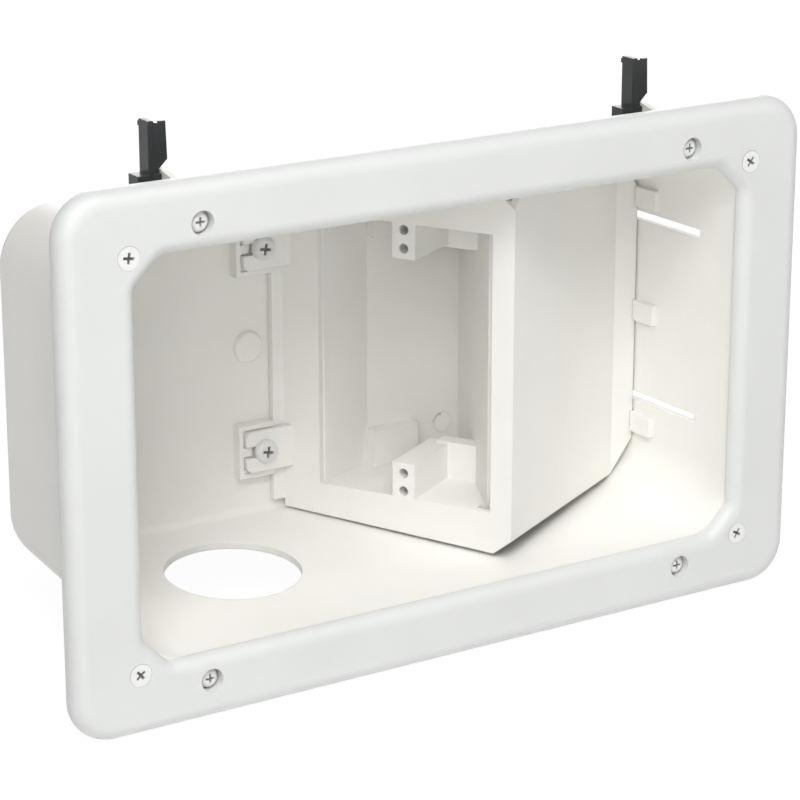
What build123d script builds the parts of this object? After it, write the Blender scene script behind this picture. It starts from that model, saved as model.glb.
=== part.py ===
from build123d import *
import os
from math import cos, radians, sin, tan

# Recessed wall box for wiring behind a flat screen, in millimetres.
# +X is to the right seen from the room, +Y goes into the wall, +Z is up.
# The origin is the centre of the opening, in the plane of the wall's face.

# Trim plate
trim_width = 293.0
trim_height = 182.5
trim_depth = 7.0
trim_corner_radius = 15.0
trim_edge_round = 5.5
trim_skin = 3.0
trim_rim = 3.5
trim_face_side = 26.0
trim_face_end = 22.75
opening_corner_cut = 9.5
opening_corner_round = 4.5
opening_lip = 3.0
opening_lip_round = 4.6
tube_wall = 1.6

# Moulded shell
wall = 2.5
flange_thickness = 2.0
flange_clearance = 1.0
mouth_reveal_side = 1.7
mouth_reveal_end = 0.3
mouth_corner_radius = 19.3
side_draft = 0.031
floor_draft = 0.0643
shell_depth = 95.0
shell_back_round = 5.5
shoulder_inset = 3.05
shoulder_run = 23.0
shoulder_rise = 27.0
cable_hole_inset = 65.7
cable_hole_depth = 50.2
cable_hole_diameter = 48.5
wall_mark_inset = 13.35
wall_mark_z = 0.6
wall_mark_diameter = 11.5
wall_mark_height = 1.6
wall_mark_round = 0.9

# Slits and retaining tabs in the right-hand wall
slit_height = 3.4
slit_pitch = 70.1
slit_middle = 2.85
slit_front = 18.4
slit_length = 41.6
tab_pitch = 43.75
tab_middle = 1.6
tab_height = 7.8
tab_length = 11.7
tab_proud = 2.2
tab_clearance = 0.2

# Angled device box
box_wall = 2.5
face_angle = 60.0
crest_inset = 88.2
face_length = 92.1
face_end_gap = 0.9
face_tip_gap = 1.5
crest_cut = 7.1
crest_drop = 5.6
face_border = 14.7
device_opening_width = 68.7
device_opening_height = 101.4
shroud_length = 87.8
shroud_top_gap = 3.0
shroud_top_start = 3.5
shroud_fall = 1.5
side_strip_clearance = 0.6
side_strip_half_height = 49.0
end_strip_width = 4.65
end_strip_thickness = 2.44
end_strip_clearance = 0.3
chamber_back_width = 40.7
chamber_back_inset = 12.5
chamber_step = 3.46
window_clearance = 1.0
corner_notch_length = 4.5
corner_notch_width = 3.0
corner_notch_inset = 1.5

# Device ears
ear_spacing = 83.34
cover_spacing = 96.84
ear_hole_diameter = 3.5
ear_hole_length = 20.0
ear_width = 9.2
ear_half_gap = 37.8
ear_length = 31.0

# Cable clamps beside the ears and on the back wall of the chamber
clamp_start = 26.0
clamp_depth = 6.5
clamp_half_gap = 36.7
clamp_back_width = 19.5
clamp_back_depth = 5.0

# Cable knockout in the back of the device box
knockout_inset = 21.0
knockout_z = -41.0
knockout_diameter = 9.0
knockout_groove = 1.1
knockout_groove_depth = 0.25
pry_slot_angle = 70.0

# Feet of the device box and the pads that they stand on
foot_z = 38.0
foot_screw_inset = 9.85
foot_height = 15.6
foot_reach = 7.6
foot_thickness = 2.6
foot_corner = 2.5
foot_fork = 4.4
pad_height = 20.2
pad_rim = 1.9
pad_rise = 3.2
pad_lip = 1.0
pad_clearance = 0.4
pad_key_height = 3.6

# Trim screws, flat heads
trim_screw_inset_x = 23.6
trim_screw_inset_z = 21.65
trim_screw_head = 7.8
trim_screw_diameter = 3.5
trim_screw_length = 15.0
countersink_depth = 2.5
boss_diameter = 8.0
boss_length = 12.0
screw_clearance = 0.1

# Wing screws, pan heads
wing_screw_inset_x = 49.8
wing_screw_inset_z = 13.95
wing_screw_head = 6.8
wing_screw_head_height = 3.4
wing_screw_diameter = 4.0
wing_screw_tip = 38.5
access_clearance = 0.6
turning_clearance = 0.3
thread_clearance = 0.15

# Mounting wings
wing_rest_depth = 28.0
wing_reach = 26.0
hub_radius = 4.3
hub_length = 6.5
hub_height = 8.4
blade_left = -0.3
blade_right = 6.4
blade_shoulder = 6.8
blade_shoulder_z = 13.0
neck_right = 3.7
neck_z = 10.0
blade_thickness = 2.0
blade_rim = 0.8
blade_recess = 0.5
blade_lip_width = 2.2
blade_lip_drop = 0.5
blade_notch_drop = 1.2
rib_thickness = 2.0
rib_depth = 6.3
nub_height = 1.6
nub_reach = 0.8
fin_clearance = 0.4
fin_thickness = 2.0
fin_height = 9.4
fin_front_height = 3.0
fin_slope_end = 29.0
fin_length = 38.0

# Device box screws, pan heads
foot_screw_head = 8.8
foot_screw_head_height = 2.6
foot_screw_diameter = 3.5
foot_screw_length = 7.5
foot_screw_turn = 10.0

# Cross recess, as shares of the head that it is cut in
recess_span = 0.52
recess_arm = 0.13
recess_depth = 0.2
recess_taper = 0.55

# Room that a cutting shape has beyond the faces it passes
overcut = 5.0

INTO_WALL = (0, 1, 0)
UPWARD = (0, 0, 1)
TO_THE_RIGHT = (1, 0, 0)
face_x = cos(radians(face_angle))
face_y = sin(radians(face_angle))
opening_width = trim_width - 2 * trim_face_side
opening_height = trim_height - 2 * trim_face_end
mouth_width = opening_width + 2 * mouth_reveal_side
mouth_height = opening_height + 2 * mouth_reveal_end
trim_screw_x = trim_width / 2 - trim_screw_inset_x
trim_screw_z = trim_height / 2 - trim_screw_inset_z
wing_screw_x = trim_width / 2 - wing_screw_inset_x
wing_screw_z = trim_height / 2 - wing_screw_inset_z
back_inside = shell_depth - wall
right_depth = shell_depth - shoulder_rise
cable_hole_x = cable_hole_inset - mouth_width / 2
crest_x = mouth_width / 2 - crest_inset
face_end_x = crest_x - face_length * face_x
shoulder_x = face_end_x + shoulder_inset
shoulder_foot_x = shoulder_x + shoulder_run
wall_mark_x = face_end_x - wall_mark_inset
foot_screw_x = face_end_x - foot_screw_inset
chamber_back_x = crest_x - chamber_back_inset
knockout_x = crest_x + knockout_inset
face_end_depth = back_inside - end_strip_clearance - end_strip_thickness
crest_depth = face_end_depth - face_length * face_y
chamber_depth = face_end_depth - chamber_step


def at_depth(depth):
    """Upright plane across the box, at a depth behind the wall's face."""
    return Plane(origin=(0, depth, 0), x_dir=(1, 0, 0), z_dir=(0, -1, 0))


def inner_half_width(depth):
    return mouth_width / 2 - (depth + flange_thickness) * side_draft


def inner_half_height(depth):
    return mouth_height / 2 - (depth + flange_thickness) * floor_draft


def shell_form(front, grow):
    """Drafted body of the shell, grown outwards from its cavity and stepped at the right."""
    back = shell_depth - wall + grow
    ends = []
    for depth in (front, back):
        outline = RectangleRounded(
            2 * (inner_half_width(depth) + grow),
            2 * (inner_half_height(depth) + grow),
            mouth_corner_radius + grow,
        )
        ends.append(at_depth(depth) * outline)
    form = loft(ends, ruled=True)
    form = fillet(form.faces().sort_by(Axis.Y)[-1].edges(), shell_back_round - wall + grow)
    return form - behind_shoulder(wall - grow)


def behind_shoulder(inset):
    """Space behind the slanted shoulder and the shallower right-hand part of the shell."""
    run = shoulder_run
    rise = shoulder_rise
    slant = (run ** 2 + rise ** 2) ** 0.5
    front = right_depth - inset
    beyond = shell_depth + rise
    shift = inset * slant / rise
    front_x = shoulder_foot_x - shift + inset * run / rise
    beyond_x = shoulder_x - run - shift
    plan = Polygon(
        (front_x, front), (trim_width, front), (trim_width, beyond), (beyond_x, beyond),
        align=None,
    )
    return extrude(Plane.XY.offset(-trim_height) * plan, 2 * trim_height, dir=UPWARD)


def face_point(along, behind=0.0):
    """Plan point on the angled face, from its outer end, and behind it."""
    x = face_end_x + along * face_x + behind * face_y
    return (x, face_end_depth - along * face_y + behind * face_x)


shroud_end = (crest_x + shroud_length * face_y, crest_depth + shroud_length * face_x)
face_end_half_height = inner_half_height(face_end_depth) - face_end_gap
face_tip_half_height = inner_half_height(face_point(face_length - crest_cut)[1]) - face_tip_gap
crest_half_height = face_tip_half_height - crest_drop
tab_back = shroud_end[1] - tab_clearance


def shroud_top(along):
    """Height of the shroud's upper edge, which follows the roof of the shell."""
    return inner_half_height(crest_depth + along * face_x) - shroud_top_gap


def device_chamber(grow):
    """Upright block of the device chamber, grown outwards from its inside."""
    left = face_point(face_border)
    right = face_point(face_border + device_opening_width)
    plan = Polygon(
        left,
        (chamber_back_x, chamber_depth),
        (chamber_back_x + chamber_back_width, chamber_depth),
        right,
        align=None,
    )
    if grow:
        plan = offset(plan, amount=grow, kind=Kind.INTERSECTION)
    half = device_opening_height / 2 + grow
    return extrude(Plane.XY.offset(-half) * plan, 2 * half, dir=UPWARD)


def across(width, depth, height, x, y, z):
    """Box by its size and its middle."""
    return Pos(x, y, z) * Box(width, depth, height)


def along_y(radius, start, end, x, z):
    """Round bar along Y."""
    bar = Cylinder(radius, end - start, align=(Align.CENTER, Align.CENTER, Align.MIN))
    return Pos(x, start, z) * Rot(X=-90) * bar


wing_stations = {
    "top_left": (-wing_screw_x, wing_screw_z, 1),
    "top_right": (wing_screw_x, wing_screw_z, 1),
    "bottom_left": (-wing_screw_x, -wing_screw_z, -1),
    "bottom_right": (wing_screw_x, -wing_screw_z, -1),
}
trim_screw_places = {
    "top_left": (-trim_screw_x, trim_screw_z, 8),
    "top_right": (trim_screw_x, trim_screw_z, 35),
    "bottom_left": (-trim_screw_x, -trim_screw_z, 50),
    "bottom_right": (trim_screw_x, -trim_screw_z, 30),
}
foot_places = {"upper": foot_z, "lower": -foot_z}

pad_front = back_inside - pad_rise
foot_front = pad_front - foot_thickness


def make_main_box():
    """Moulded shell with its flange, screw bosses, wing fins, pads, tabs and openings."""
    shell = shell_form(0, wall)
    flange_inset = trim_rim + flange_clearance
    flange = RectangleRounded(
        trim_width - 2 * flange_inset, trim_height - 2 * flange_inset, trim_corner_radius - flange_inset
    )
    shell += extrude(at_depth(-flange_thickness) * flange, flange_thickness, dir=INTO_WALL)
    for x, z, turn in trim_screw_places.values():
        shell += along_y(boss_diameter / 2, 0, boss_length, x, z)
    for x, z, up in wing_stations.values():
        shell += make_fin(x, z, up)
    shell -= shell_form(-flange_thickness - overcut, 0)

    for z in foot_places.values():
        shell += make_pad(z)
    mark_front = back_inside - wall_mark_height
    mark = along_y(wall_mark_diameter / 2, mark_front, shell_depth - wall / 2, wall_mark_x, wall_mark_z)
    shell += fillet(mark.faces().sort_by(Axis.Y)[0].edges(), wall_mark_round)
    tab_y = tab_back - tab_length / 2
    tab_width = tab_proud + wall / 2
    tab_x = inner_half_width(tab_y) - tab_proud + tab_width / 2
    for row in (-1, 0, 1):
        shell += across(tab_width, tab_length, tab_height, tab_x, tab_y, tab_middle + row * tab_pitch)

    slit_y = slit_front + slit_length / 2
    slit_x = inner_half_width(slit_y) + wall / 2
    for row in (-0.5, 0.5):
        slit_z = slit_middle + row * slit_pitch
        shell -= across(wall + 2 * overcut, slit_length, slit_height, slit_x, slit_y, slit_z)
    cable_hole = Cylinder(cable_hole_diameter / 2, wall + 2 * overcut)
    shell -= Pos(cable_hole_x, cable_hole_depth, -inner_half_height(cable_hole_depth)) * cable_hole
    shell -= device_chamber(box_wall + window_clearance)

    start = -flange_thickness - overcut
    for x, z, turn in trim_screw_places.values():
        shell -= along_y(trim_screw_diameter / 2 + screw_clearance, start, boss_length - 1, x, z)
    for x, z, up in wing_stations.values():
        shell -= along_y(wing_screw_diameter / 2 + turning_clearance, start, overcut, x, z)
    for z in foot_places.values():
        tip = foot_front + foot_screw_length + screw_clearance
        shell -= along_y(foot_screw_diameter / 2 + screw_clearance, foot_front, tip, foot_screw_x, z)
    return shell


def make_fin(x, z, up):
    """Fin beside a wing screw that stops the wing when it stands out from the box."""
    foot = inner_half_height(fin_length)
    axis = abs(z)
    side = Polygon(
        (0, foot),
        (0, axis + fin_front_height),
        (fin_slope_end, axis + fin_height),
        (fin_length, axis + fin_height),
        (fin_length, foot),
        align=None,
    )
    fin = extrude(Plane.YZ * side, fin_thickness, dir=TO_THE_RIGHT)
    fin = Pos(hub_radius + fin_clearance, 0, 0) * fin
    if up < 0:
        fin = Rot(Y=180) * fin
    return Pos(x, 0, 0) * fin


def make_pad(z):
    """Pad on the back wall: a tray with a rim round the foot and a key in its fork."""
    foot_left = foot_screw_x - foot_reach
    left = foot_left - pad_clearance - pad_rim
    right = face_end_x - end_strip_width - pad_clearance
    rim_front = pad_front - pad_lip
    depth = shell_depth - wall / 2 - rim_front
    pad = across(right - left, depth, pad_height, (left + right) / 2, rim_front + depth / 2, z)
    tray_left = foot_left - pad_clearance
    tray_height = foot_height + 2 * pad_clearance
    tray_width = right - tray_left + overcut
    pad -= across(tray_width, 2 * pad_lip, tray_height, tray_left + tray_width / 2, rim_front, z)
    key_right = foot_screw_x - foot_screw_head / 2
    key_width = key_right - tray_left + pad_clearance
    key_x = tray_left - pad_clearance + key_width / 2
    return pad + across(key_width, pad_lip, pad_key_height, key_x, pad_front - pad_lip / 2, z)


def make_trim_plate():
    """Face plate that covers the flange: a skin with a rim, a soft lip and tubes round its holes."""
    outline = RectangleRounded(trim_width, trim_height, trim_corner_radius)
    plate = extrude(at_depth(-trim_depth) * outline, trim_depth, dir=INTO_WALL)
    plate = fillet(plate.faces().sort_by(Axis.Y)[0].edges(), trim_edge_round)
    start = -trim_depth - overcut
    opening = chamfered_opening(0)
    plate -= extrude(at_depth(start) * opening, trim_depth + 2 * overcut, dir=INTO_WALL)
    plate = fillet(plate.faces().sort_by(Axis.Y)[0].inner_wires().edges(), opening_lip_round)

    inside = RectangleRounded(
        trim_width - 2 * trim_rim, trim_height - 2 * trim_rim, trim_corner_radius - trim_rim
    )
    flange_front = -flange_thickness
    plate -= extrude(at_depth(flange_front) * inside, flange_thickness + overcut, dir=INTO_WALL)
    hollow_front = trim_skin - trim_depth
    hollow = inside - chamfered_opening(opening_lip)
    hollow = extrude(at_depth(hollow_front) * hollow, flange_front - hollow_front, dir=INTO_WALL)
    access_radius = wing_screw_head / 2 + access_clearance
    for x, z, up in wing_stations.values():
        hollow -= along_y(access_radius + tube_wall, hollow_front, flange_front, x, z)
    for x, z, turn in trim_screw_places.values():
        hollow -= along_y(trim_screw_head / 2 + tube_wall, hollow_front, flange_front, x, z)
    plate -= hollow
    for x, z, up in wing_stations.values():
        plate -= along_y(access_radius, start, overcut, x, z)
    for x, z, turn in trim_screw_places.values():
        plate -= Pos(x, -trim_depth, z) * screw_profile(screw_clearance)
    return plate


def chamfered_opening(grow):
    """Outline of the opening with its cut and softened corners, grown outwards."""
    opening = Rectangle(opening_width + 2 * grow, opening_height + 2 * grow)
    opening = chamfer(opening.vertices(), opening_corner_cut + grow * (2 - 2 ** 0.5))
    return fillet(opening.vertices(), opening_corner_round + grow)


def screw_profile(grow):
    """Flat screw head on its shank, its top at the origin and its axis along Y, grown by a clearance."""
    head = trim_screw_head / 2 + grow
    shank = trim_screw_diameter / 2 + grow
    profile = Polygon(
        (0, 0), (head, 0), (shank, countersink_depth), (shank, trim_screw_length), (0, trim_screw_length),
        align=None,
    )
    return revolve(profile, Axis.Y)


def cross_recess(head):
    """Tapered cross cut into a head whose top is at the origin."""
    ends = []
    for depth, scale in ((0, 1.0), (recess_depth * head, recess_taper)):
        arm = recess_arm * head * scale
        span = recess_span * head * scale
        cross = Rectangle(span, arm) + Rectangle(arm, span)
        ends.append(at_depth(depth) * cross)
    return loft(ends, ruled=True)


def make_trim_screw(x, z, turn):
    """Flat-headed trim screw, its head level with the plate and its recess as it was left."""
    screw = screw_profile(0) - cross_recess(trim_screw_head)
    return Pos(x, -trim_depth, z) * Rot(Y=turn) * screw


def pan_screw(head, head_height, shank, length):
    """Pan-headed screw with its seat at the origin and its axis along Y."""
    profile = Polygon(
        (0, -head_height),
        (head / 2, -head_height),
        (head / 2, 0),
        (shank / 2, 0),
        (shank / 2, length),
        (0, length),
        align=None,
    )
    screw = revolve(profile, Axis.Y)
    top = screw.faces().sort_by(Axis.Y)[0].edges()
    screw = fillet(top, head_height * 0.6)
    return screw - Pos(0, -head_height, 0) * cross_recess(head)


def make_wing_screw(x, z):
    """Long screw that turns in the flange and draws its wing to the wall."""
    length = wing_screw_tip + flange_thickness
    screw = pan_screw(wing_screw_head, wing_screw_head_height, wing_screw_diameter, length)
    return Pos(x, -flange_thickness, z) * screw


def make_mounting_wing(x, z, turn):
    """Flip-out wing: a hub on the screw, with an angle-shaped blade that bears on the wall."""
    hub = along_y(hub_radius, 0, hub_length, 0, 0)
    hub += across(2 * hub_radius, hub_length, hub_height, 0, hub_length / 2, hub_height / 2)
    root = hub_height - blade_thickness
    lip_left = blade_right - blade_lip_width
    outline = Polygon(
        (blade_left, root),
        (blade_left, wing_reach),
        (lip_left, wing_reach - blade_notch_drop),
        (lip_left, wing_reach - blade_lip_drop),
        (blade_right, wing_reach - blade_lip_drop),
        (blade_shoulder, blade_shoulder_z),
        (neck_right, neck_z),
        (neck_right, root),
        align=None,
    )
    blade = extrude(at_depth(0) * outline, blade_thickness, dir=INTO_WALL)
    length = wing_reach - root
    sunk = blade_shoulder - blade_left
    sunk_x = blade_left + blade_rim + sunk / 2
    blade -= across(sunk, 2 * blade_recess, length, sunk_x, 0, hub_height + length / 2)
    blade += across(
        rib_thickness, rib_depth, length, blade_left + rib_thickness / 2, rib_depth / 2, root + length / 2
    )
    nub_z = wing_reach - nub_height
    blade += across(
        rib_thickness, 2 * nub_reach, nub_height, blade_left + rib_thickness / 2, rib_depth, nub_z
    )
    wing = hub + blade
    wing -= along_y(wing_screw_diameter / 2 + thread_clearance, -overcut, hub_length + overcut, 0, 0)
    return Pos(x, wing_rest_depth, z) * Rot(Y=turn) * wing


def make_device_box():
    """Angled single-gang box in one moulding: face, shroud, chamber, ears, strips and feet."""
    face_plane = Plane(origin=(*face_point(0), 0), x_dir=(face_x, -face_y, 0), z_dir=(-face_y, -face_x, 0))
    inward = (face_y, face_x, 0)
    cut_start = face_length - crest_cut
    face = Polygon(
        (0, -face_end_half_height),
        (cut_start, -face_tip_half_height),
        (face_length, -crest_half_height),
        (face_length, crest_half_height),
        (cut_start, face_tip_half_height),
        (0, face_end_half_height),
        align=None,
    )
    box = extrude(face_plane * face, box_wall, dir=inward)

    shroud_plane = Plane(origin=(crest_x, crest_depth, 0), x_dir=inward, z_dir=(face_x, -face_y, 0))
    shroud = Polygon(
        (0, -crest_half_height),
        (0, crest_half_height),
        (shroud_top_start, shroud_top(shroud_top_start)),
        (shroud_length, shroud_top(shroud_length)),
        (shroud_length, -crest_half_height - shroud_fall),
        align=None,
    )
    box += extrude(shroud_plane * shroud, box_wall, dir=(-face_x, face_y, 0))

    strip_left = shroud_end[0] - box_wall
    strip_right = inner_half_width(shroud_end[1]) - side_strip_clearance
    strip = Polygon(
        (strip_left, -crest_half_height - shroud_fall),
        (shroud_end[0], -crest_half_height - shroud_fall),
        (strip_right, -side_strip_half_height),
        (strip_right, side_strip_half_height),
        (shroud_end[0], shroud_top(shroud_length)),
        (strip_left, shroud_top(shroud_length)),
        align=None,
    )
    box += extrude(at_depth(shroud_end[1]) * strip, box_wall, dir=INTO_WALL)
    end_width = end_strip_width + box_wall * face_y / 2
    end_height = 2 * (face_end_half_height - shell_back_round + wall)
    end_x = face_end_x - end_strip_width + end_width / 2
    end_y = face_end_depth + end_strip_thickness / 2
    box += across(end_width, end_strip_thickness, end_height, end_x, end_y, 0)

    front_side = Rectangle(2 * trim_width, 2 * trim_width)
    in_front = extrude(face_plane * front_side, trim_width)
    box += device_chamber(box_wall) - in_front
    box -= device_chamber(0)
    opening = Rectangle(device_opening_width, device_opening_height, align=(Align.MIN, Align.CENTER))
    opening = extrude(face_plane * Pos(face_border, 0) * opening, 2 * overcut, both=True)
    box -= opening & (in_front + extrude(face_plane * face, box_wall + overcut / 10, dir=inward))
    box -= make_corner_notches()

    middle = face_border + device_opening_width / 2
    ear_height = device_opening_height / 2 + box_wall / 2 - ear_half_gap
    for side in (-1, 1):
        ear_z = side * (ear_half_gap + ear_height / 2)
        ear = face_plane * Pos(middle, ear_z) * Rectangle(ear_width, ear_height)
        box += extrude(ear, ear_length, dir=inward)
        for spacing in (ear_spacing, cover_spacing):
            hole = face_plane * Pos(middle, side * spacing / 2) * Circle(ear_hole_diameter / 2)
            box -= extrude(hole, ear_hole_length, dir=inward)
    box += make_clamps()

    for z in foot_places.values():
        box += make_foot(z)
    screw_radius = foot_screw_diameter / 2 + turning_clearance
    for z in foot_places.values():
        box -= along_y(screw_radius, foot_front - overcut, pad_front, foot_screw_x, z)
    return box - make_knockout()


def make_corner_notches():
    """Slots through the chamber's floor and roof, in its front corner beside the crest."""
    right = face_border + device_opening_width - corner_notch_inset
    left = right - corner_notch_length
    back = box_wall + corner_notch_width
    plan = Polygon(
        face_point(left, box_wall),
        face_point(right, box_wall),
        face_point(right, back),
        face_point(left, back),
        align=None,
    )
    half = device_opening_height / 2 + box_wall + overcut / 10
    return extrude(Plane.XY.offset(-half) * plan, 2 * half, dir=UPWARD)


def make_clamps():
    """Clamp blocks at floor and roof: between the ear and the right-hand wall, and on the back wall."""
    left = face_border + device_opening_width / 2
    right = face_border + device_opening_width
    rear = clamp_start + clamp_depth
    beside_ear = Polygon(
        face_point(left, clamp_start),
        face_point(right, clamp_start),
        face_point(right, rear),
        face_point(left, rear),
        align=None,
    )
    on_back = Polygon(
        (chamber_back_x, chamber_depth - clamp_back_depth),
        (chamber_back_x + clamp_back_width, chamber_depth - clamp_back_depth),
        (chamber_back_x + clamp_back_width, chamber_depth + box_wall),
        (chamber_back_x, chamber_depth + box_wall),
        align=None,
    )
    height = device_opening_height / 2 + box_wall - clamp_half_gap
    blocks = []
    for side in (-1, 1):
        for plan in (beside_ear, on_back):
            blocks.append(extrude(Plane.XY.offset(side * clamp_half_gap) * plan, height, dir=(0, 0, side)))
    within = device_chamber(box_wall / 2)
    return [block & within for block in blocks]


def make_foot(z):
    """Forked foot that stands on its pad and joins the outer end of the face."""
    left = foot_screw_x - foot_reach
    right = face_end_x + box_wall
    middle = (left + right) / 2
    foot = across(right - left, foot_thickness, foot_height, middle, foot_front + foot_thickness / 2, z)
    corners = foot.edges().filter_by(Axis.Y).sort_by(Axis.X)[:2]
    foot = fillet(corners, foot_corner)
    fork = foot_screw_x - left + overcut
    return foot - across(fork, 2 * foot_thickness, foot_fork, foot_screw_x - fork / 2, pad_front, z)


def make_knockout():
    """Ring groove of the cable knockout, and the slot that it is pried out by."""
    radius = knockout_diameter / 2
    ring = Circle(radius) - Circle(radius - knockout_groove)
    half = radians(pry_slot_angle / 2)
    reach = knockout_diameter
    wedge = Polygon(
        (0, 0), (-reach * cos(half), reach * sin(half)), (-reach * cos(half), -reach * sin(half)),
        align=None,
    )
    slot = ring & (Rot(Z=-45) * wedge)
    place = at_depth(chamber_depth) * Pos(knockout_x, knockout_z)
    groove = extrude(place * ring, knockout_groove_depth, dir=INTO_WALL)
    return groove + extrude(place * slot, 2 * box_wall, dir=INTO_WALL)


def make_foot_screw(z):
    """Pan-headed screw that holds a foot to its pad."""
    screw = pan_screw(foot_screw_head, foot_screw_head_height, foot_screw_diameter, foot_screw_length)
    return Pos(foot_screw_x, foot_front, z) * Rot(Y=foot_screw_turn) * screw


nodes = {
    "main_box": make_main_box(),
    "trim_plate": make_trim_plate(),
    "device_box": make_device_box(),
}
for name, (x, z, turn) in trim_screw_places.items():
    nodes["trim_screw_" + name] = make_trim_screw(x, z, turn)
for name, (x, z, up) in wing_stations.items():
    nodes["wing_screw_" + name] = make_wing_screw(x, z)
    nodes["mounting_wing_" + name] = make_mounting_wing(x, z, 0 if up > 0 else 90)
for name, z in foot_places.items():
    nodes["device_box_screw_" + name] = make_foot_screw(z)

os.makedirs("parts", exist_ok=True)
for name, solid in nodes.items():
    solid.label = name
    export_step(solid, f"parts/{name}.step")
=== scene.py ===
import math

import bmesh
import bpy
from mathutils import Matrix, Vector


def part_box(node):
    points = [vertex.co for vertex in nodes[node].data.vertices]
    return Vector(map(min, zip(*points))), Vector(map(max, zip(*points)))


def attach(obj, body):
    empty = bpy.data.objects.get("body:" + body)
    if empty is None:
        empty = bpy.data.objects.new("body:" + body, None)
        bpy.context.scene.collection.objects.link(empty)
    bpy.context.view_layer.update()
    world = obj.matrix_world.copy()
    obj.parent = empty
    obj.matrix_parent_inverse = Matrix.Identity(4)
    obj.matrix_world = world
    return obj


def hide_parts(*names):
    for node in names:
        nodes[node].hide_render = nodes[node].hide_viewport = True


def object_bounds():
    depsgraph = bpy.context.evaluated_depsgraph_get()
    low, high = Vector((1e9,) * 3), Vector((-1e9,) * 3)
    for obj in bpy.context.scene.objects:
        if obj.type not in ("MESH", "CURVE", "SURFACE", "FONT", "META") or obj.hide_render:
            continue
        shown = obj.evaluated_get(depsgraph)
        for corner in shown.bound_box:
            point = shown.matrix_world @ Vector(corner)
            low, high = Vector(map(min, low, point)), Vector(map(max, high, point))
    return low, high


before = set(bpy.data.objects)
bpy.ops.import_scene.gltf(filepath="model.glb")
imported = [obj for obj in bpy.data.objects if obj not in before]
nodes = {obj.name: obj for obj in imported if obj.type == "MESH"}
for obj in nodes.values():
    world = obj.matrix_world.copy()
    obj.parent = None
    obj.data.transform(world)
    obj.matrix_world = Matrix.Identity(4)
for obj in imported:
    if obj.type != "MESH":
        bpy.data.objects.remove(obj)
cad_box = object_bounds()


# Main box: the deep white shell that goes through the cut-out in the wall board.
# It is one moulding in a tough white plastic, with a fine satin texture from the mould
# and faint warm and cool clouds where the melt met.
BODY_WHITE = (0.885, 0.876, 0.838)
BODY_CLOUD = (0.855, 0.845, 0.803)
PLASTIC_IOR = 1.47
CLOUD_SCALE = 22.0
CLOUD_ROUGHNESS = 0.55
CLOUD_FULL = 0.30
CLOUD_GONE = 0.66
SHEEN_SCALE = 160.0
SHEEN_GLOSSIER = 0.06
SHEEN_DULLER = 0.08
GRAIN_SCALE = 2600.0
GRAIN_STRENGTH = 0.35
EDGE_SAMPLES = 6


def mottle(tree, place, scale, detail, roughness=0.5):
    """Noise over a piece's own coordinates, for clouds, sheen or grain."""
    noise = tree.nodes.new("ShaderNodeTexNoise")
    noise.inputs["Scale"].default_value = scale
    noise.inputs["Detail"].default_value = detail
    noise.inputs["Roughness"].default_value = roughness
    tree.links.new(place.outputs["Object"], noise.inputs["Vector"])
    return noise.outputs["Fac"]


def relief(tree, height, strength, depth, edge_radius):
    """Surface normal with softened edges and a shallow texture on top."""
    edges = tree.nodes.new("ShaderNodeBevel")
    edges.samples = EDGE_SAMPLES
    edges.inputs["Radius"].default_value = edge_radius
    texture = tree.nodes.new("ShaderNodeBump")
    texture.inputs["Strength"].default_value = strength
    texture.inputs["Distance"].default_value = depth
    tree.links.new(height, texture.inputs["Height"])
    tree.links.new(edges.outputs["Normal"], texture.inputs["Normal"])
    return texture.outputs["Normal"]


def moulded_plastic(name, colour, cloud, roughness, texture_depth, edge_radius):
    """Moulded plastic: clouded colour, uneven sheen, spark-eroded texture and soft edges."""
    material = bpy.data.materials.new(name)
    material.use_nodes = True
    tree = material.node_tree
    shader = tree.nodes["Principled BSDF"]
    shader.inputs["IOR"].default_value = PLASTIC_IOR
    place = tree.nodes.new("ShaderNodeTexCoord")

    tint = tree.nodes.new("ShaderNodeValToRGB")
    clouded, clear = tint.color_ramp.elements
    clouded.position = CLOUD_FULL
    clouded.color = (*cloud, 1.0)
    clear.position = CLOUD_GONE
    clear.color = (*colour, 1.0)
    clouds = mottle(tree, place, CLOUD_SCALE, detail=3.0, roughness=CLOUD_ROUGHNESS)
    tree.links.new(clouds, tint.inputs["Fac"])
    tree.links.new(tint.outputs["Color"], shader.inputs["Base Color"])

    uneven = tree.nodes.new("ShaderNodeMapRange")
    uneven.inputs["To Min"].default_value = roughness - SHEEN_GLOSSIER
    uneven.inputs["To Max"].default_value = roughness + SHEEN_DULLER
    tree.links.new(mottle(tree, place, SHEEN_SCALE, detail=4.0), uneven.inputs["Value"])
    tree.links.new(uneven.outputs["Result"], shader.inputs["Roughness"])

    grain = mottle(tree, place, GRAIN_SCALE, detail=2.0)
    skin = relief(tree, grain, GRAIN_STRENGTH, texture_depth, edge_radius)
    tree.links.new(skin, shader.inputs["Normal"])
    return material


def finish_node(name, material):
    """Give a CAD node its finish in every slot it has."""
    slots = nodes[name].data.materials
    if not slots:
        slots.append(material)
    for index in range(len(slots)):
        slots[index] = material


body_white = moulded_plastic(
    "body_white", BODY_WHITE, BODY_CLOUD, roughness=0.46, texture_depth=0.00006, edge_radius=0.0006,
)
finish_node("main_box", body_white)


# Device box: the angled single-gang box that stands in the shell on two forked feet.
# It is a second moulding in the same white plastic, with slightly softer edges.
DEVICE_WHITE = (0.885, 0.877, 0.838)
DEVICE_CLOUD = (0.857, 0.847, 0.804)

device_white = moulded_plastic(
    "device_white", DEVICE_WHITE, DEVICE_CLOUD, roughness=0.44, texture_depth=0.00006, edge_radius=0.0007,
)
finish_node("device_box", device_white)


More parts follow.
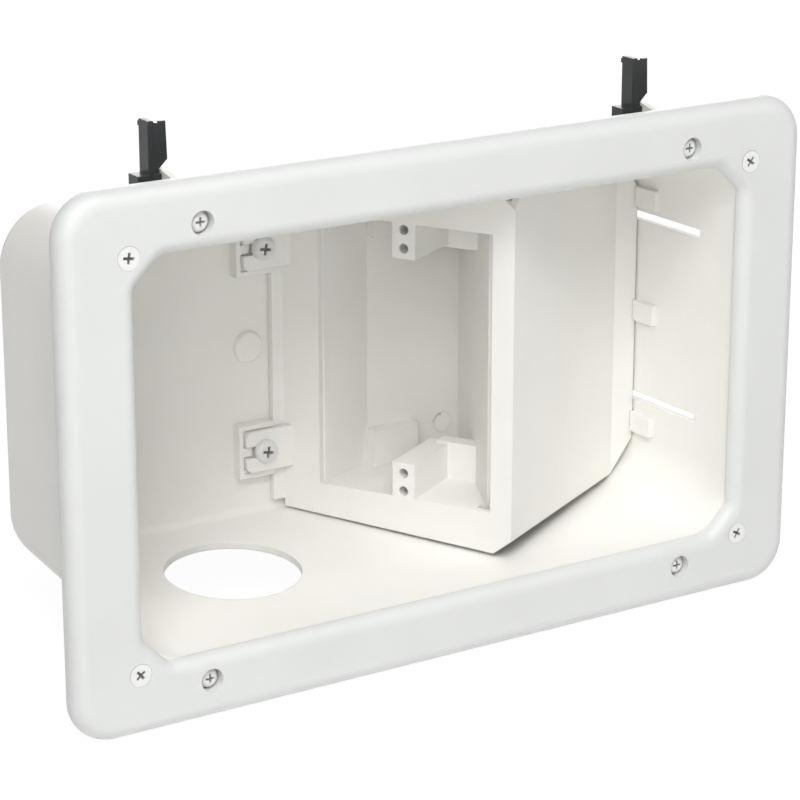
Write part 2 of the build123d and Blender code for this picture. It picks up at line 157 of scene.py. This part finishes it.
# Trim plate: the frame that covers the flange, screwed on from the front.
# Its plastic is a cleaner, cooler white with a finer sheen than the shell's.
TRIM_WHITE = (0.731, 0.742, 0.731)
TRIM_CLOUD = (0.709, 0.719, 0.708)

trim_white = moulded_plastic(
    "trim_white", TRIM_WHITE, TRIM_CLOUD, roughness=0.40, texture_depth=0.00004, edge_radius=0.0005,
)
finish_node("trim_plate", trim_white)


# Screws: steel screws with white painted heads, in the trim's corners and through the feet.
# The cross recess is turned grey as painted shade, and the shanks are plain zinc.
TRIM_SCREW_WHITE = (0.82, 0.82, 0.81)
TRIM_HEAD_DEPTH = 0.0025
# The recess greys are painted shade in the cross recesses.
TRIM_RECESS_GREY = 0.22
FOOT_SCREW_WHITE = (0.75, 0.75, 0.74)
FOOT_HEAD_DEPTH = 0.0026
FOOT_RECESS_GREY = 0.30
SHANK_ZINC = (0.62, 0.62, 0.60)
RECESS_SHARE = 0.29
RECESS_FADE = 0.9
# Depths below a head's top where the painted shade in the recess begins and where it is full.
SHADE_START_DEPTH = 0.0001
SHADE_FULL_DEPTH = 0.0007
PAINT_ROUGHNESS = 0.34
PEEL_SCALE = 1500.0
PEEL_STRENGTH = 0.4
PEEL_DEPTH = 0.00005
SCREW_EDGE_RADIUS = 0.0002


def pieces_named(kind):
    """The nodes of one kind, such as all four trim screws."""
    return sorted(name for name in nodes if name.startswith(kind))


def painted_screw(kind, white, head_depth, recess_grey):
    """White paint on a kind's heads, painted shade in grey in the recess round the axis, and bare zinc
    beyond the seat.

    The screws of a kind mirror each other about the middle of the box, so a place is folded into one
    quarter and measured from the axis there.
    """
    low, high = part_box(pieces_named(kind)[0])
    middle = (low + high) / 2
    recess_radius = (high.x - low.x) * RECESS_SHARE

    material = bpy.data.materials.new(kind + "_paint")
    material.use_nodes = True
    tree = material.node_tree
    shader = tree.nodes["Principled BSDF"]
    shader.inputs["Roughness"].default_value = PAINT_ROUGHNESS
    place = tree.nodes.new("ShaderNodeTexCoord")

    folded = tree.nodes.new("ShaderNodeVectorMath")
    folded.operation = "ABSOLUTE"
    tree.links.new(place.outputs["Object"], folded.inputs[0])
    from_axis = tree.nodes.new("ShaderNodeVectorMath")
    from_axis.operation = "SUBTRACT"
    from_axis.inputs[1].default_value = (abs(middle.x), 0.0, abs(middle.z))
    tree.links.new(folded.outputs["Vector"], from_axis.inputs[0])
    flattened = tree.nodes.new("ShaderNodeVectorMath")
    flattened.operation = "MULTIPLY"
    flattened.inputs[1].default_value = (1.0, 0.0, 1.0)
    tree.links.new(from_axis.outputs["Vector"], flattened.inputs[0])
    radius = tree.nodes.new("ShaderNodeVectorMath")
    radius.operation = "LENGTH"
    tree.links.new(flattened.outputs["Vector"], radius.inputs[0])
    inside = tree.nodes.new("ShaderNodeMapRange")
    inside.inputs["From Min"].default_value = recess_radius
    inside.inputs["From Max"].default_value = recess_radius * RECESS_FADE
    tree.links.new(radius.outputs["Value"], inside.inputs["Value"])

    axes = tree.nodes.new("ShaderNodeSeparateXYZ")
    tree.links.new(place.outputs["Object"], axes.inputs["Vector"])
    sunk = tree.nodes.new("ShaderNodeMapRange")
    sunk.inputs["From Min"].default_value = low.y + SHADE_START_DEPTH
    sunk.inputs["From Max"].default_value = low.y + SHADE_FULL_DEPTH
    tree.links.new(axes.outputs["Y"], sunk.inputs["Value"])
    # Painted shade: near the axis and below the head's top, the colour turns to the recess grey.
    recess_shade = tree.nodes.new("ShaderNodeMath")
    recess_shade.operation = "MULTIPLY"
    tree.links.new(inside.outputs["Result"], recess_shade.inputs[0])
    tree.links.new(sunk.outputs["Result"], recess_shade.inputs[1])
    shank = tree.nodes.new("ShaderNodeMath")
    shank.operation = "GREATER_THAN"
    shank.inputs[1].default_value = low.y + head_depth
    tree.links.new(axes.outputs["Y"], shank.inputs[0])

    # White paint mixed with the painted shade of the recess.
    paint = tree.nodes.new("ShaderNodeMix")
    paint.data_type = "RGBA"
    paint.inputs["A"].default_value = (*white, 1.0)
    paint.inputs["B"].default_value = (recess_grey, recess_grey, recess_grey, 1.0)
    tree.links.new(recess_shade.outputs["Value"], paint.inputs["Factor"])
    metal = tree.nodes.new("ShaderNodeMix")
    metal.data_type = "RGBA"
    metal.inputs["B"].default_value = (*SHANK_ZINC, 1.0)
    tree.links.new(shank.outputs["Value"], metal.inputs["Factor"])
    tree.links.new(paint.outputs["Result"], metal.inputs["A"])
    tree.links.new(metal.outputs["Result"], shader.inputs["Base Color"])
    tree.links.new(shank.outputs["Value"], shader.inputs["Metallic"])

    orange_peel = mottle(tree, place, PEEL_SCALE, detail=2.0)
    skin = relief(tree, orange_peel, PEEL_STRENGTH, PEEL_DEPTH, SCREW_EDGE_RADIUS)
    tree.links.new(skin, shader.inputs["Normal"])
    return material


for kind, white, head_depth, recess_grey in (
    ("trim_screw", TRIM_SCREW_WHITE, TRIM_HEAD_DEPTH, TRIM_RECESS_GREY),
    ("device_box_screw", FOOT_SCREW_WHITE, FOOT_HEAD_DEPTH, FOOT_RECESS_GREY),
):
    screw_paint = painted_screw(kind, white, head_depth, recess_grey)
    for name in pieces_named(kind):
        finish_node(name, screw_paint)


# Wing screws: the long screws that are reached through the holes in the trim.
# Each keeps the solid's head and plain neck, and behind the flange a rolled thread is wound
# on its shank up to a blunt point.
WING_HEAD_DEPTH = 0.0034
# The recess grey is painted shade in the cross recess.
WING_RECESS_GREY = 0.35
THREAD_START = 0.0006
THREAD_PITCH = 0.001
THREAD_ROOT = 0.0016
THREAD_CREST = 0.00195
CREST_START = 0.40 * THREAD_PITCH
CREST_END = 0.52 * THREAD_PITCH
ROOT_START = 0.92 * THREAD_PITCH
TURN_STEPS = 20
POINT_LENGTH = 0.0015
POINT_RADIUS = 0.0009
CUT_TOLERANCE = 1e-7
SOLID_WELD = 1e-6
THREAD_WELD = 2e-6
SHARP_ANGLE = math.radians(32)

scene = bpy.context.scene


def threaded_screw(name):
    """A screw's own head and neck with the thread and the point joined on, as one closed mesh."""
    low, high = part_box(name)
    middle = (low + high) / 2
    shape = bmesh.new()
    shape.from_mesh(nodes[name].data)
    bmesh.ops.remove_doubles(shape, verts=shape.verts, dist=SOLID_WELD)
    cut = bmesh.ops.bisect_plane(
        shape, geom=shape.verts[:] + shape.edges[:] + shape.faces[:], dist=CUT_TOLERANCE,
        plane_co=(0.0, THREAD_START, 0.0), plane_no=(0.0, 1.0, 0.0), clear_outer=True,
    )
    neck_rim = [piece for piece in cut["geom_cut"] if isinstance(piece, bmesh.types.BMEdge)]

    thread_end = high.y - POINT_LENGTH
    turns = math.floor((thread_end - THREAD_START) / THREAD_PITCH) - 1
    first_y = thread_end - (turns + 1) * THREAD_PITCH
    profile = (
        (THREAD_ROOT, 0.0),
        (THREAD_CREST, CREST_START),
        (THREAD_CREST, CREST_END),
        (THREAD_ROOT, ROOT_START),
        (THREAD_ROOT, THREAD_PITCH),
    )
    ridge = [shape.verts.new((middle.x + out, first_y + along, middle.z)) for out, along in profile]
    sides = [shape.edges.new(pair) for pair in zip(ridge, ridge[1:])]
    bmesh.ops.spin(
        shape, geom=ridge + sides, cent=(middle.x, 0.0, middle.z), axis=(0.0, 1.0, 0.0),
        dvec=(0.0, THREAD_PITCH / TURN_STEPS, 0.0), angle=2 * math.pi * turns, steps=TURN_STEPS * turns,
    )
    bmesh.ops.remove_doubles(shape, verts=shape.verts, dist=THREAD_WELD)
    open_edges = [edge for edge in shape.edges if edge.is_boundary and edge not in neck_rim]
    first_turn = [edge for edge in open_edges if edge.verts[0].co.y < middle.y]
    last_turn = [edge for edge in open_edges if edge.verts[0].co.y > middle.y]

    facing_back = Matrix.Rotation(-math.pi / 2, 4, "X")
    point = bmesh.ops.create_circle(
        shape, cap_ends=True, segments=TURN_STEPS, radius=POINT_RADIUS,
        matrix=Matrix.Translation((middle.x, high.y, middle.z)) @ facing_back,
    )
    point_rim = list(dict.fromkeys(edge for corner in point["verts"] for edge in corner.link_edges))
    bmesh.ops.bridge_loops(shape, edges=neck_rim + first_turn)
    bmesh.ops.bridge_loops(shape, edges=last_turn + point_rim)
    bmesh.ops.recalc_face_normals(shape, faces=shape.faces)
    for face in shape.faces:
        face.smooth = True
    for edge in shape.edges:
        edge.smooth = edge.calc_face_angle(0.0) < SHARP_ANGLE
    mesh = bpy.data.meshes.new(name + "_threaded")
    shape.to_mesh(mesh)
    shape.free()
    return mesh


wing_screw_paint = painted_screw("wing_screw", TRIM_SCREW_WHITE, WING_HEAD_DEPTH, WING_RECESS_GREY)
for name in pieces_named("wing_screw"):
    mesh = threaded_screw(name)
    mesh.materials.append(wing_screw_paint)
    threaded = bpy.data.objects.new(name + "_threaded", mesh)
    scene.collection.objects.link(threaded)
    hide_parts(name)
    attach(threaded, name)


# Mounting wings: black nylon wings that swing out behind the wall board and clamp it.
# Nylon moulds with a slight gloss, and its black is clouded with a paler, rubbed one.
WING_BLACK = (0.010, 0.012, 0.013)
WING_RUB = (0.022, 0.026, 0.027)

wing_black = moulded_plastic(
    "wing_black", WING_RUB, WING_BLACK, roughness=0.36, texture_depth=0.00005, edge_radius=0.0004,
)
for name in pieces_named("mounting_wing"):
    finish_node(name, wing_black)


# Studio: a pale floor under the trim's lower edge, large soft lights and the camera.
# The camera stands to the left of the box and looks down on it.
FLOOR_WHITE = (0.93, 0.93, 0.93)
FLOOR_HALF = 6.0
FLOOR_GAP = 0.0002
PAPER_ROUGHNESS = 0.9
PAPER_GLOW = 0.86
GLOW_STRENGTH = 1.08
SKY_WHITE = (1.0, 1.0, 1.0)
SKY_FILL = 0.05

floor_mesh = bpy.data.meshes.new("floor")
shape = bmesh.new()
bmesh.ops.create_grid(shape, x_segments=1, y_segments=1, size=FLOOR_HALF)
bmesh.ops.translate(shape, vec=(0.0, 0.0, cad_box[0][2] - FLOOR_GAP), verts=shape.verts)
shape.to_mesh(floor_mesh)
shape.free()
floor = bpy.data.objects.new("floor", floor_mesh)
scene.collection.objects.link(floor)


def looking_rays(tree):
    """1 for a ray that looks at the background, straight or by reflection, and 0 for one that lights."""
    rays = tree.nodes.new("ShaderNodeLightPath")
    mirrored = tree.nodes.new("ShaderNodeMath")
    mirrored.operation = "MAXIMUM"
    tree.links.new(rays.outputs["Is Glossy Ray"], mirrored.inputs[0])
    tree.links.new(rays.outputs["Is Transmission Ray"], mirrored.inputs[1])
    looking = tree.nodes.new("ShaderNodeMath")
    looking.operation = "MAXIMUM"
    tree.links.new(rays.outputs["Is Camera Ray"], looking.inputs[0])
    tree.links.new(mirrored.outputs["Value"], looking.inputs[1])
    return looking.outputs["Value"]


floor_paper = bpy.data.materials.new("floor_paper")
floor_paper.use_nodes = True
tree = floor_paper.node_tree
paper = tree.nodes["Principled BSDF"]
paper.inputs["Base Color"].default_value = (*FLOOR_WHITE, 1.0)
paper.inputs["Roughness"].default_value = PAPER_ROUGHNESS
glow = tree.nodes.new("ShaderNodeEmission")
glow.inputs["Strength"].default_value = GLOW_STRENGTH
share = tree.nodes.new("ShaderNodeMath")
share.operation = "MULTIPLY"
share.inputs[1].default_value = PAPER_GLOW
tree.links.new(looking_rays(tree), share.inputs[0])
surface = tree.nodes.new("ShaderNodeMixShader")
tree.links.new(share.outputs["Value"], surface.inputs["Fac"])
tree.links.new(paper.outputs["BSDF"], surface.inputs[1])
tree.links.new(glow.outputs["Emission"], surface.inputs[2])
tree.links.new(surface.outputs["Shader"], tree.nodes["Material Output"].inputs["Surface"])
floor_mesh.materials.append(floor_paper)

world = bpy.data.worlds.new("studio")
world.use_nodes = True
scene.world = world
tree = world.node_tree
sky = tree.nodes["Background"]
sky.inputs["Color"].default_value = (*SKY_WHITE, 1.0)
brightness = tree.nodes.new("ShaderNodeMapRange")
brightness.inputs["To Min"].default_value = SKY_FILL
tree.links.new(looking_rays(tree), brightness.inputs["Value"])
tree.links.new(brightness.outputs["Result"], sky.inputs["Strength"])


def softbox(name, place, size, watts):
    """Square area light that faces the middle of the opening."""
    lamp = bpy.data.lights.new(name, "AREA")
    lamp.shape = "SQUARE"
    lamp.size = size
    lamp.energy = watts
    lit = bpy.data.objects.new(name, lamp)
    aim = -Vector(place)
    lit.matrix_world = Matrix.Translation(place) @ aim.to_track_quat("-Z", "Y").to_matrix().to_4x4()
    scene.collection.objects.link(lit)


softbox("high_key", place=(-0.75, -1.0, 1.2), size=0.8, watts=14.6)
softbox("beside_camera", place=(-0.9, -1.35, 0.55), size=0.8, watts=6.0)
softbox("high_front", place=(0.1, -0.8, 1.5), size=0.9, watts=12.4)
softbox("behind", place=(0.7, 1.4, 0.3), size=1.0, watts=10.5)

SENSOR_WIDTH = 36.0
FRAME_PIXELS = 800
FOCAL_PIXELS = 2903.3
CAMERA_PLACE = (-0.51911, -0.7817, 0.30075)
CAMERA_YAW = math.radians(32.598)
CAMERA_PITCH = math.radians(17.724)

lens = bpy.data.cameras.new("camera")
lens.sensor_width = SENSOR_WIDTH
lens.lens = FOCAL_PIXELS * SENSOR_WIDTH / FRAME_PIXELS
camera = bpy.data.objects.new("camera", lens)
turn = Matrix.Rotation(-CAMERA_YAW, 4, "Z") @ Matrix.Rotation(math.pi / 2 - CAMERA_PITCH, 4, "X")
camera.matrix_world = Matrix.Translation(CAMERA_PLACE) @ turn
scene.collection.objects.link(camera)
scene.camera = camera
scene.view_settings.view_transform = "Standard"
